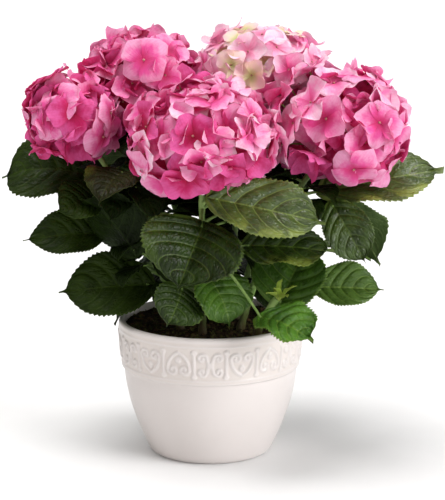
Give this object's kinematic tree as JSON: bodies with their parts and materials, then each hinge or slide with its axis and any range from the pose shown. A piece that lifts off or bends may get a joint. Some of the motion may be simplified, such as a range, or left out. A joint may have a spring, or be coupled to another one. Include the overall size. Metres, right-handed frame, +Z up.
{
  "type": "potted hydrangea shrub",
  "caption": "Mophead hydrangea shrub with pink flower heads and broad toothed leaves, growing in a round glazed pot with a low raised scroll band.",
  "frame": {"origin": "centre of the pot's flat underside", "axes": "+Z up, -Y towards the plant's front (the side with the largest low flower head), +X to the right as seen from the front"},
  "size_m": [0.444, 0.3567, 0.4278],
  "materials": {
    "glazed_pot": "gloss",
    "compost": "matte",
    "cane": "satin",
    "leaf": "satin",
    "petal": "matte",
    "petal_pale": "matte"
  },
  "bodies": {
    "root": {"pot": "glazed_pot", "soil": "compost", "left_stem": "cane", "left_foliage": "leaf", "left_flower_head": "petal", "upper_left_stem": "cane", "upper_left_foliage": "leaf", "upper_left_flower_head": "petal", "front_stem": "cane", "front_foliage": "leaf", "front_flower_head": "petal", "right_stem": "cane", "right_foliage": "leaf", "right_flower_head": "petal", "top_stem": "cane", "top_foliage": "leaf", "top_flower_head": "petal_pale", "back_stem": "cane", "back_foliage": "leaf", "back_flower_head": "petal", "back_right_stem": "cane", "back_right_foliage": "leaf", "back_right_flower_head": "petal", "young_stem": "cane", "young_foliage": "leaf"}
  },
  "joints": []
}
